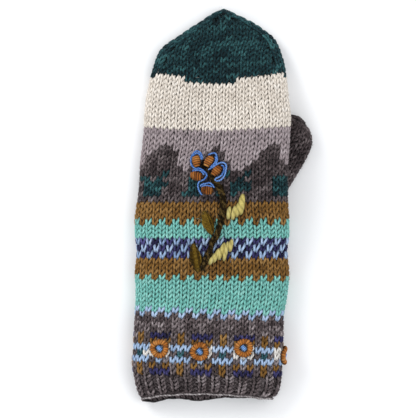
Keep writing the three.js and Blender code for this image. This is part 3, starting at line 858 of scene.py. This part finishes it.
# A node of a shader or geometry tree; its inputs go by name, or by i and a number where names repeat
def addNode(tree, kind, settings=None, **inputs):
    node = tree.nodes.new(tree.bl_idname.replace("Tree", kind))
    for label, value in (settings or {}).items():
        setattr(node, label, value)
    for label, value in inputs.items():
        socket = node.inputs[int(label[1:]) if label[1:].isdigit() else label.replace("_", " ")]
        if isinstance(value, bpy.types.NodeSocket):
            tree.links.new(value, socket)
        else:
            socket.default_value = value
    return node


def calc(tree, operation, a, b=0.0):
    return addNode(tree, "Math", {"operation": operation}, i0=a, i1=b).outputs[0]


def ranged(tree, value, low, high, atLow, atHigh):
    return addNode(tree, "MapRange", i0=value, i1=low, i2=high, i3=atLow, i4=atHigh).outputs[0]


# A node group; inputs and outputs are each a kind and the names of that kind, as in "Float Along Tone"
def makeGroup(name, inputs, outputs, treeKind="ShaderNodeTree"):
    tree = bpy.data.node_groups.new(name, treeKind)
    for way, sockets in (("INPUT", inputs), ("OUTPUT", outputs)):
        for kind, *labels in (part.split() for part in sockets.split(", ")):
            for label in labels:
                tree.interface.new_socket(label, in_out=way, socket_type="NodeSocket" + kind)
    return tree, tree.nodes.new("NodeGroupInput").outputs, tree.nodes.new("NodeGroupOutput").inputs


# Geometry Nodes that turn lengths of edges into round yarn; "around" tells the side of the yarn
def makeTubeTree():
    tree, given, made = makeGroup("yarnTubes", "Geometry Geometry, Int Sides", "Geometry Geometry",
                                  "GeometryNodeTree")
    curve = addNode(tree, "MeshToCurve", Mesh=given["Geometry"])
    circle = addNode(tree, "CurvePrimitiveCircle", Resolution=given["Sides"], Radius=1.0)
    place = addNode(tree, "InputPosition")
    around = addNode(tree, "StoreNamedAttribute", {"data_type": "FLOAT_VECTOR"},
                     Geometry=circle.outputs["Curve"], Name="around", Value=place.outputs["Position"])
    thickness = addNode(tree, "InputNamedAttribute", Name="thickness")
    tube = addNode(tree, "CurveToMesh", Curve=curve.outputs["Curve"], Fill_Caps=True,
                   Profile_Curve=around.outputs["Geometry"], Scale=thickness.outputs["Attribute"])
    shade = addNode(tree, "SetShadeSmooth", Geometry=tube.outputs["Mesh"])
    tree.links.new(shade.outputs["Geometry"], made["Geometry"])
    return tree, next(item.identifier for item in tree.interface.items_tree if item.name == "Sides")


tubeTree, sidesSocket = makeTubeTree()


def addObject(name, data):
    added = bpy.data.objects.new(name, data)
    bpy.context.scene.collection.objects.link(added)
    return added


def addPiece(name, mesh, material, nodes):
    piece = addObject(name, mesh)
    mesh.materials.clear()
    mesh.materials.append(material)
    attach(piece, "root")
    if nodes:
        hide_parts(*nodes)
    return piece


# Gives each point of a mesh a number, a vector or a colour, by how many columns the values have
def store(mesh, label, values):
    kind, field = {1: ("FLOAT", "value"), 3: ("FLOAT_VECTOR", "vector"), 4: ("FLOAT_COLOR", "color")}[
        values.size // len(values)]
    mesh.attributes.new(label, kind, "POINT").data.foreach_set(field, values.astype(np.float32).ravel())


# Real mesh of a set of yarn lengths: a chain of vertices for each, made round by the node tree
def spin(name, parts, material, slotName, nodes=(), sides=6, tints=None):
    spots = np.concatenate([part[0] for part in parts])
    points = toFrame(spots[:, :3])
    counts = np.array([len(part[0]) for part in parts])
    ends = np.cumsum(counts)
    edges = []
    for (_, _, _, closed), first, last in zip(parts, ends - counts, ends):
        chain = np.arange(first, last)
        edges.append(np.stack((chain, np.roll(chain, -1)), axis=1)[:None if closed else -1])
    edges = np.concatenate(edges)
    mesh = bpy.data.meshes.new(name + "Lengths")
    mesh.vertices.add(len(points))
    mesh.vertices.foreach_set("co", points.ravel())
    mesh.edges.add(len(edges))
    mesh.edges.foreach_set("vertices", edges.ravel())
    store(mesh, "thickness", np.concatenate([part[1] for part in parts]) * 0.001)
    store(mesh, "along", np.concatenate([
        np.append(0, np.cumsum(np.linalg.norm(np.diff(part[0][:, :3], axis=0), axis=1))) for part in parts]))
    store(mesh, "tone", np.concatenate([part[2] for part in parts]))
    store(mesh, "level", spots[:, 6])
    store(mesh, "outward", spots[:, 3:6])
    if tints is not None:
        store(mesh, "tint", tints)
    lengths = addObject(name + "Lengths", mesh)
    spinner = lengths.modifiers.new("tubes", "NODES")
    spinner.node_group = tubeTree
    spinner[sidesSocket] = sides
    made = bpy.data.meshes.new_from_object(lengths.evaluated_get(bpy.context.evaluated_depsgraph_get()))
    made.name = name
    bpy.data.objects.remove(lengths)
    bpy.data.meshes.remove(mesh)
    shadeHollows(made)
    addPiece(name, made, material, nodes)


# painted shade of the hollows, stored per point: 1 where the yarn faces out of the knitting and lies on top,
# darker where it turns aside and where it lies deep
def shadeHollows(mesh):
    count = len(mesh.vertices)
    normals, outward, level = np.empty(count * 3), np.empty(count * 3), np.empty(count)
    mesh.vertex_normals.foreach_get("vector", normals)
    mesh.attributes["outward"].data.foreach_get("vector", outward)
    mesh.attributes["level"].data.foreach_get("value", level)
    facing = (normals * outward).reshape(-1, 3).sum(axis=1)
    store(mesh, "open", (0.12 + 0.88 * smooth((facing + 0.35) / 1.2)) * (0.4 + 0.6 * level))
    for label in ("thickness", "outward", "level"):
        mesh.attributes.remove(mesh.attributes[label])


woolLook = {
    "fibreScale": 3.1,  # how fine the fibres are round a yarn
    "fibreSlide": 0.45,  # how fast they change along it
    "toneStep": 7.3,  # how different they are from stitch to stitch
    "speckScale": 600.0,
    "weights": (1.4, 1.2, 0.14),  # share of the fibres, the specks and the stitch's own tone in the heather
    "middle": 1.3,  # level of their sum that shows the main colour
    # painted shade between two plies: the brightness left in the groove
    "groove": 0.62,  # brightness left between two plies
    "reliefDepth": 0.0004,
}


# Shader group: plies twisted round each other, and the fibres that run along them
def makeSpunGroup():
    tree, given, made = makeGroup("spunPlies", "Vector Around, Float Along Tone Plies Pitch",
                                  "Float Ply Fibre")
    sides = addNode(tree, "SeparateXYZ", i0=given["Around"]).outputs
    angle = calc(tree, "ARCTAN2", sides["Y"], sides["X"])
    turned = calc(tree, "DIVIDE", calc(tree, "MULTIPLY", given["Along"], 2 * math.pi), given["Pitch"])
    twist = calc(tree, "ADD", angle, turned)
    wave = calc(tree, "COSINE", calc(tree, "MULTIPLY", twist, given["Plies"]))
    ply = ranged(tree, wave, -1.0, 1.0, 0.0, 1.0)
    offset = calc(tree, "MULTIPLY", given["Tone"], woolLook["toneStep"])
    onward = calc(tree, "ADD", calc(tree, "MULTIPLY", given["Along"], woolLook["fibreSlide"]), offset)
    spot = addNode(tree, "CombineXYZ", i0=calc(tree, "COSINE", twist), i1=calc(tree, "SINE", twist),
                   i2=onward).outputs[0]
    noise = addNode(tree, "TexNoise", Vector=spot, Scale=woolLook["fibreScale"], Detail=3.0, Roughness=0.62)
    tree.links.new(ply, made["Ply"])
    tree.links.new(noise.outputs[0], made["Fibre"])
    return tree


# Shader group: heathered wool, a blend of darker and lighter fibres round its main colour
def makeHeatherGroup():
    tree, given, made = makeGroup("heather", "Color Base Dark Light, Float Amount Tone Ply Fibre Open",
                                  "Color Color, Float Height")
    place = addNode(tree, "TexCoord").outputs["Object"]
    speck = addNode(tree, "TexNoise", Vector=place, Scale=woolLook["speckScale"], Detail=2.0, Roughness=0.6)
    parts = given["Fibre"], speck.outputs[0], given["Tone"]
    fibre, speck, tone = (calc(tree, "MULTIPLY", *pair) for pair in zip(parts, woolLook["weights"]))
    blend = calc(tree, "ADD", calc(tree, "ADD", fibre, speck), tone)
    blend = calc(tree, "MULTIPLY", calc(tree, "SUBTRACT", blend, woolLook["middle"]), given["Amount"])
    colour = given["Base"]
    for most, fibre in ((-0.5, "Dark"), (0.5, "Light")):
        part = ranged(tree, blend, 0.0, most, 0.0, 1.0)
        mix = addNode(tree, "Mix", {"data_type": "RGBA"}, i0=part, i6=colour, i7=given[fibre])
        colour = mix.outputs[2]
    # Painted shade: the colour is darkened between two plies and in the knitting's hollows
    groove = ranged(tree, given["Ply"], 0.0, 0.45, woolLook["groove"], 1.0)
    depth = calc(tree, "MULTIPLY", groove, given["Open"])
    shade = addNode(tree, "VectorMath", {"operation": "SCALE"}, i0=colour, Scale=depth)
    fibreHeight = calc(tree, "MULTIPLY", given["Fibre"], 0.7)
    height = calc(tree, "ADD", calc(tree, "POWER", given["Ply"], 0.5), fibreHeight)
    tree.links.new(shade.outputs[0], made["Color"])
    tree.links.new(height, made["Height"])
    return tree


spunGroup, heatherGroup = makeSpunGroup(), makeHeatherGroup()


def startMaterial(name, roughness, sheen, gloss=0.25):
    material = bpy.data.materials.new(name)
    material.use_nodes = True
    tree = material.node_tree
    tree.nodes.clear()
    shader = addNode(tree, "BsdfPrincipled", Roughness=roughness)
    shader.inputs["Sheen Weight"].default_value = sheen
    shader.inputs["Sheen Roughness"].default_value = 0.5
    shader.inputs["Specular IOR Level"].default_value = gloss
    tree.links.new(shader.outputs[0], addNode(tree, "OutputMaterial").inputs[0])
    return material, tree, shader


def finishMaterial(tree, shader, colour, height, strength, distance):
    relief = addNode(tree, "Bump", Strength=strength, Distance=distance, Height=height)
    tree.links.new(colour, shader.inputs["Base Color"])
    tree.links.new(relief.outputs[0], shader.inputs["Normal"])


def attribute(tree, name, output):
    return addNode(tree, "Attribute", {"attribute_name": name}).outputs[output]


def group(tree, name, **inputs):
    return addNode(tree, "Group", {"node_tree": name}, **inputs).outputs


def makeYarn(name, base, dark, light, heather, hollow, plies=3.0, pitch=11.0, bump=0.7, sheen=0.05,
             gloss=0.15):
    material, tree, shader = startMaterial(name, 0.92, sheen, gloss)
    tone = attribute(tree, "tone", "Fac")
    spun = group(tree, spunGroup, Around=attribute(tree, "around", "Vector"),
                 Along=attribute(tree, "along", "Fac"), Tone=tone, Plies=plies, Pitch=pitch)
    base, dark, light = (linear(code) + [1] for code in (base, dark, light))
    # the painted shade of the hollows, made stronger or softer by each yarn's power
    wool = group(tree, heatherGroup, Base=base, Dark=dark, Light=light, Amount=heather, Tone=tone,
                 Ply=spun["Ply"], Fibre=spun["Fibre"],
                 Open=calc(tree, "POWER", attribute(tree, "open", "Fac"), hollow))
    finishMaterial(tree, shader, wool["Color"], wool["Height"], bump, woolLook["reliefDepth"])
    return material


def makeTinted(name, roughness, shadeLow):
    material, tree, shader = startMaterial(name, roughness, 0.2)
    place = addNode(tree, "TexCoord").outputs["Object"]
    noise = addNode(tree, "TexNoise", Vector=place, Scale=650.0, Detail=3.0).outputs[0]
    level = ranged(tree, noise, 0.3, 0.7, shadeLow, 1.0)
    tint = attribute(tree, "tint", "Color")
    shade = addNode(tree, "VectorMath", {"operation": "SCALE"}, i0=tint, Scale=level)
    finishMaterial(tree, shader, shade.outputs[0], noise, 0.6, 0.0005)
    return material


# Other yarns: colour, darker and lighter fibres, how strongly they show, how dark the painted shade in the
# hollows is, plies, length of their twist in mm, relief, sheen and gloss
otherYarns = {
    "rustYarn": ["d08136", "68320b", "f0b873", 0.4, 1.15, 1.0, 9.0, 0.3],
    "deepRustYarn": ["9a5a22", "431e05", "c08a4a", 0.5, 1.5, 1.0, 9.0, 0.3],
    "blueThread": ["5a8fe2", "1d4794", "9fc6fb", 0.5, 1.4, 2.0, 4.0, 0.5],
    "castOnYarn": ["a39a9a", "3e3536", "e6dede", 0.95, 1.1],
    "blueYarn": ["80b0f0", "3366b4", "bcd8fb", 0.35, 1.0, 1.0, 6.0, 0.4],
    "darkFuzzyYarn": ["221908", "050301", "5f4d29", 0.9, 1.3, 3.0, 6.0, 0.7, 0.0, 0.08],
    "paleGreenYarn": ["e4d37e", "9a8a38", "f6edb0", 0.35, 0.75, 3.0, 14.0, 0.4],
    "oliveYarn": ["594207", "1e1501", "8d7127", 0.8, 1.2, 2.0, 5.0, 0.7, 0.02, 0.12],
}
yarnMaterials = {letter: makeYarn("wool" + wool[0], *wool[1:]) for letter, wool in wools.items()}
yarnMaterials.update({name: makeYarn(name, *parts) for name, parts in otherYarns.items()})
insideWool = makeTinted("insideWool", 0.95, 0.55)
fibreWool = makeTinted("fibreWool", 0.9, 0.85)
print("materials made")

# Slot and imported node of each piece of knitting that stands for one; the rest have patterned_knit alone
knitNodes = {
    "cuffCharcoal": ("charcoal_knit", ["cuff"]),
    "wristCharcoal": ("patterned_knit", ["wrist_band"]),
    "handTurquoise": ("patterned_knit", ["hand"]),
    "fingersCream": ("patterned_knit", ["fingers"]),
    "tipTeal": ("teal_knit", ["tip"]),
    "thumbDarkGrey": ("charcoal_knit", ["thumb"]),
}
for name, parts in strands.items():
    if name in woolOf:
        spin(name, parts, yarnMaterials[woolOf[name]], *knitNodes.get(name, ("patterned_knit", [])))
spin("cuffCastOn", strands["cuffCastOn"], yarnMaterials["castOnYarn"], "charcoal_knit")


# Sewn pieces: the name and its number, its yarn, its slot, and the node that it stands for
def spinSewn(name, n, yarn, slotName, node, sides=6):
    spin(name + n, strands[name + n], yarnMaterials[yarn], slotName, [f"{node}_{n}".strip("_")], sides)


for n in "12345678":
    spinSewn("rosetteRing", n, "rustYarn", "rust_yarn", "rosette_ring")
    spinSewn("rosetteEye", n, "blueYarn", "blue_yarn", "rosette_eye")
for n in "12345":
    spinSewn("petal", n, "deepRustYarn", "rust_yarn", "petal")
    spinSewn("petalEdge", n, "blueThread", "blue_yarn", "petal_edge")
spinSewn("flowerStem", "", "darkFuzzyYarn", "dark_fuzzy_yarn", "flower_stem", 8)
for n in "12":
    spinSewn("leafLight", n, "paleGreenYarn", "pale_green_yarn", "leaf_light", 8)
    spinSewn("leafDark", n, "oliveYarn", "olive_yarn", "leaf_dark")


thinning = np.array([1.0, 0.9, 0.7, 0.3]) * fuzz["thickness"]  # of a loose fibre towards its end
fuzzParts = [(spots, thinning, np.zeros(4), False) for spots, tint in fibres]
fuzzTints = np.repeat([[*tint, 1.0] for spots, tint in fibres], 4, axis=0)
spin("looseFibres", fuzzParts, fibreWool, "patterned_knit", sides=3, tints=fuzzTints)
print("yarn spun")

# The walls take the colour of the yarn's darker fibres, and a strength below 1 darkens it more: painted shade
# seen in the gaps between the stitches
linings = {
    # surface, along from and to, depth of the outer face, thickness, strength of the colour, slot
    "cuffInside": [body, 1.2, 18.6, 2.4, 0.2, 1.0, "charcoal_knit"],
    "handInside": [body, 18.0, 268.0, 2.4, 1.5, 0.35, "patterned_knit"],
    "thumbInside": [thumb, -3.0, 80.0, 2.4, 1.5, 0.35, "charcoal_knit"],
}


liningMesh = {"columns": 96, "rowStep": 3, "rim": 0.012}  # rim: how far back the far end's edge may reach


# Wall behind the stitches: a grid bent round the tube, its seam merged and its far end closed
def makeLining(name, surface, start, stop, depth, thickness, strength, slotName):
    grid = bmesh.new()
    rows = max(4, int((stop - start) / liningMesh["rowStep"]))
    bmesh.ops.create_grid(grid, x_segments=liningMesh["columns"], y_segments=rows, size=0.5)
    spots = np.array([vert.co[:2] for vert in grid.verts]) + 0.5
    share, along = spots[:, 0], start + spots[:, 1] * (stop - start)
    tint = grid.verts.layers.float_color.new("tint")
    points = toFrame(onSurface(surface, share, along, -depth))
    for vert, point, part, row in zip(grid.verts, points, share, along):
        letter = "D" if surface is thumb else letterAt(part * form["stitches"], row)
        vert.co = point
        # painted shade: the wall takes the yarn's darker fibres, made darker still where strength is below 1
        vert[tint] = linear(wools[letter][2], strength) + [1]  # from the yarn's darker fibres
    bmesh.ops.remove_doubles(grid, verts=grid.verts[:], dist=1e-6)
    if stop > form["cuffLength"]:
        rim = [edge for edge in grid.edges if edge.is_boundary]
        far = max(vert.co.y for edge in rim for vert in edge.verts) - liningMesh["rim"]
        bmesh.ops.holes_fill(grid, edges=[edge for edge in rim if edge.verts[0].co.y > far], sides=0)
    mesh = bpy.data.meshes.new(name)
    grid.to_mesh(mesh)
    grid.free()
    mesh.shade_smooth()
    wall = addPiece(name, mesh, insideWool, ()).modifiers.new("wall", "SOLIDIFY")
    wall.thickness = thickness * 0.001
    wall.offset = -1


for name, settings in linings.items():
    makeLining(name, *settings)
print("insides made")

view = {
    "scale": 0.69,  # mm to a pixel at the height of the mitten's edges
    "pixels": (416, 418),
    "centre": (-3.1, 133.2),  # in the maker's axes
    "height": 1.6,
    "edgeHeight": 0.01,
    "sensor": 36.0,
}


def makeCamera():
    data = bpy.data.cameras.new("camera")
    data.sensor_width = view["sensor"]
    tall = view["pixels"][1] * view["scale"] * 0.001
    data.lens = view["sensor"] * (view["height"] - view["edgeHeight"]) / tall
    data.clip_start = 0.05
    camera = addObject("camera", data)
    x, y, _ = toFrame(np.array([*view["centre"], 0.0]))
    camera.location = (x, y, view["height"])
    bpy.context.scene.camera = camera


studio = {
    "floor": 0.93,
    "world": (0.945, 0.965, 1.0),
    "worldStrength": 0.82,
    "lamps": [
        # place, size and power
        [(-0.95, 0.85, 0.95), 0.6, 9.0],
        [(-1.3, 0.0, 0.3), 0.9, 2.2],
        [(0.5, 0.6, 1.5), 1.2, 3.4],
        [(0.8, -0.2, 1.2), 1.0, 4.0],
    ],
}


def makeStudio():
    grid = bmesh.new()
    bmesh.ops.create_grid(grid, x_segments=1, y_segments=1, size=2.0)
    mesh = bpy.data.meshes.new("floor")
    grid.to_mesh(mesh)
    grid.free()
    floor = addObject("floor", mesh)
    material, _, shader = startMaterial("paleFloor", 0.9, 0.0)
    shader.inputs["Base Color"].default_value = (studio["floor"],) * 3 + (1,)
    mesh.materials.append(material)
    floor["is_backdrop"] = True
    for n, (place, size, watts) in enumerate(studio["lamps"]):
        data = bpy.data.lights.new(f"softLamp{n}", "AREA")
        data.size, data.energy = size, watts
        lamp = addObject(f"softLamp{n}", data)
        lamp.location = place
        lamp.rotation_euler = (-Vector(place)).to_track_quat("-Z", "Y").to_euler()
    world = bpy.data.worlds.new("studio")
    world.use_nodes = True
    sky = world.node_tree.nodes["Background"]
    sky.inputs["Color"].default_value = studio["world"] + (1,)
    sky.inputs["Strength"].default_value = studio["worldStrength"]
    bpy.context.scene.world = world
    bpy.context.scene.view_settings.view_transform = "Standard"


makeCamera()
makeStudio()
print("camera and studio ready")

triangles = {piece.name: sum(len(face.vertices) - 2 for face in piece.data.polygons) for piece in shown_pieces()}
print("triangles in all:", sum(triangles.values()), "and in the largest piece:", max(triangles.values()))
